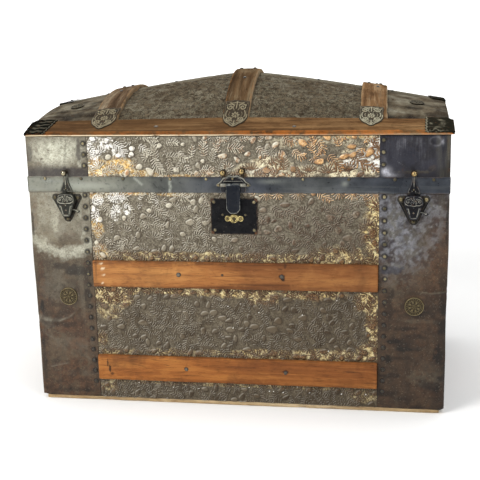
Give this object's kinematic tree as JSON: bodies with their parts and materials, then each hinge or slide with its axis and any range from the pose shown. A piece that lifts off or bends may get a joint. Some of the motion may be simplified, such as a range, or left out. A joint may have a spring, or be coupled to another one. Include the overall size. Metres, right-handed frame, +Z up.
{
  "type": "dome top trunk",
  "caption": "Dome top travelling trunk with embossed sheet metal, wooden slats, hinged lid, hasp lock, two lever latches and leather end handles.",
  "frame": {"origin": "middle of the footprint of the overall box, at floor level", "axes": "X runs along the trunk's length to the right, Y from the front to the back, Z up"},
  "size_m": [0.8966, 0.5285, 0.7005],
  "materials": {
    "tin_embossed": "worn embossed sheet, dull",
    "tin_plain": "worn plain sheet, satin",
    "slat_wood": "varnished, worn",
    "slat_grey": "weathered, matte",
    "pine": "raw pine, matte",
    "black_iron": "japanned, worn",
    "steel": "tarnished",
    "brass": "tarnished",
    "leather": "worn"
  },
  "bodies": {
    "base": {"back_board": "pine", "back_tin": "tin_embossed", "base_nails": "steel", "base_rivets": "steel", "bottom_board": "pine", "front_board": "pine", "front_slats": "slat_wood", "front_tin": "tin_embossed", "handle_caps": "black_iron", "handle_left": "leather", "handle_right": "leather", "hinge_base_leaves": "black_iron", "hinge_pins": "steel", "keyhole_escutcheon": "brass", "latch_pins": "steel", "latch_plate_left": "black_iron", "latch_plate_right": "black_iron", "latch_springs": "steel", "left_end_board": "pine", "left_end_sheet": "tin_plain", "lock_case": "steel", "lock_plate": "black_iron", "lock_spring": "steel", "medallions": "steel", "rear_and_end_slats": "slat_wood", "right_end_board": "pine", "right_end_sheet": "tin_plain", "rim_strips": "pine"},
    "lid": {"back_edge_slat": "slat_grey", "corner_clamps": "steel", "crown_clamps": "steel", "crown_slats": "slat_grey", "dome_boards": "pine", "dome_end_sheets": "tin_plain", "dome_rosettes": "steel", "dome_slat_centre": "slat_grey", "dome_slat_left": "slat_grey", "dome_slat_right": "slat_grey", "dome_tin": "tin_embossed", "front_edge_slat": "slat_grey", "hasp_mount": "black_iron", "hasp_pin": "steel", "hinge_lid_leaves": "black_iron", "latch_keepers": "black_iron", "lid_back_board": "pine", "lid_back_tin": "tin_embossed", "lid_band": "black_iron", "lid_front_board": "pine", "lid_front_tin": "tin_embossed", "lid_left_end_board": "pine", "lid_left_end_sheet": "tin_plain", "lid_nails": "steel", "lid_right_end_board": "pine", "lid_right_end_sheet": "tin_plain", "lid_rivets": "steel", "slat_clamps": "steel"},
    "hasp": {"hasp": "black_iron"},
    "latch_left": {"latch_lever_left": "steel"},
    "latch_right": {"latch_lever_right": "steel"},
    "bolt": {"lock_bolt": "steel"}
  },
  "joints": [
    {"name": "lid_hinge", "type": "hinge", "parent": "base", "child": "lid", "pos_m": [0, 0.25975, 0.462], "axis": [-1, 0, 0], "range_deg": [0, 100]},
    {"name": "hasp_swing", "type": "hinge", "parent": "lid", "child": "hasp", "pos_m": [0.004, -0.25205, 0.479], "axis": [-1, 0, 0], "range_deg": [0, 135]},
    {"name": "latch_left_turn", "type": "hinge", "parent": "base", "child": "latch_left", "pos_m": [-0.349, -0.25345, 0.426], "axis": [0, -1, 0], "range_deg": [0, 8]},
    {"name": "latch_right_turn", "type": "hinge", "parent": "base", "child": "latch_right", "pos_m": [0.363, -0.25345, 0.426], "axis": [0, -1, 0], "range_deg": [0, 8]},
    {"name": "bolt_slide", "type": "slide", "parent": "base", "child": "bolt", "axis": [-1, 0, 0], "range_m": [0, 0.008]}
  ]
}
